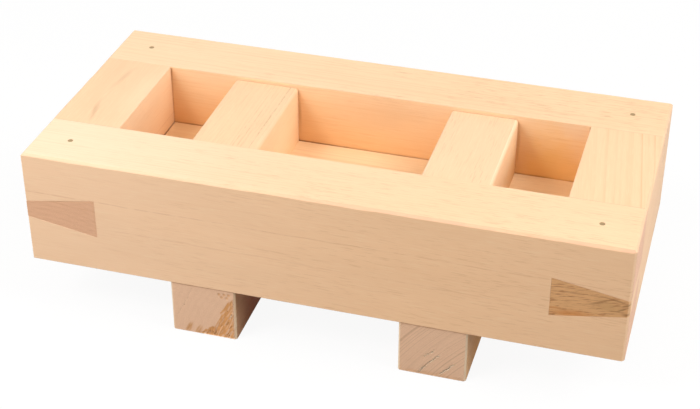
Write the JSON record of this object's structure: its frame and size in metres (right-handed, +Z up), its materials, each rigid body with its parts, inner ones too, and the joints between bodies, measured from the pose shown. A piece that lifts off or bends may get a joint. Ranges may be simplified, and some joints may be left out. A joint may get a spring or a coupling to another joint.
{
  "type": "sushi rice mold press",
  "caption": "Wooden box mold for pressed sushi: dovetailed bottomless frame on a footed base board, with a drop-in press board carried by two grip battens.",
  "frame": {"origin": "middle of the object's footprint, on the surface that the feet stand on", "axes": "+X along the long side boards, +Y across them from the front board to the back board, +Z up"},
  "size_m": [0.25, 0.1176, 0.0762],
  "materials": {
    "side_board_wood": "planed, unfinished",
    "end_board_wood": "planed, unfinished",
    "base_wood": "planed, unfinished",
    "press_wood": "planed, unfinished",
    "peg_bamboo": "cut flush"
  },
  "bodies": {
    "base": {"base_board": "base_wood", "left_foot": "base_wood", "right_foot": "base_wood", "base_peg_front_left": "peg_bamboo", "base_peg_back_left": "peg_bamboo", "base_peg_front_right": "peg_bamboo", "base_peg_back_right": "peg_bamboo"},
    "frame": {"front_side_board": "side_board_wood", "back_side_board": "side_board_wood", "left_end_board": "end_board_wood", "right_end_board": "end_board_wood", "corner_peg_front_left": "peg_bamboo", "corner_peg_front_right": "peg_bamboo", "corner_peg_back_left": "peg_bamboo", "corner_peg_back_right": "peg_bamboo"},
    "press": {"press_board": "press_wood", "left_grip_batten": "press_wood", "right_grip_batten": "press_wood", "press_peg_front_left": "peg_bamboo", "press_peg_back_left": "peg_bamboo", "press_peg_front_right": "peg_bamboo", "press_peg_back_right": "peg_bamboo"}
  },
  "joints": [
    {"name": "frame_lift", "type": "slide", "parent": "base", "child": "frame", "axis": [0, 0, 1], "range_m": [0, 0.06]},
    {"name": "press_lift", "type": "slide", "parent": "base", "child": "press", "axis": [0, 0, 1], "range_m": [0, 0.06]}
  ]
}
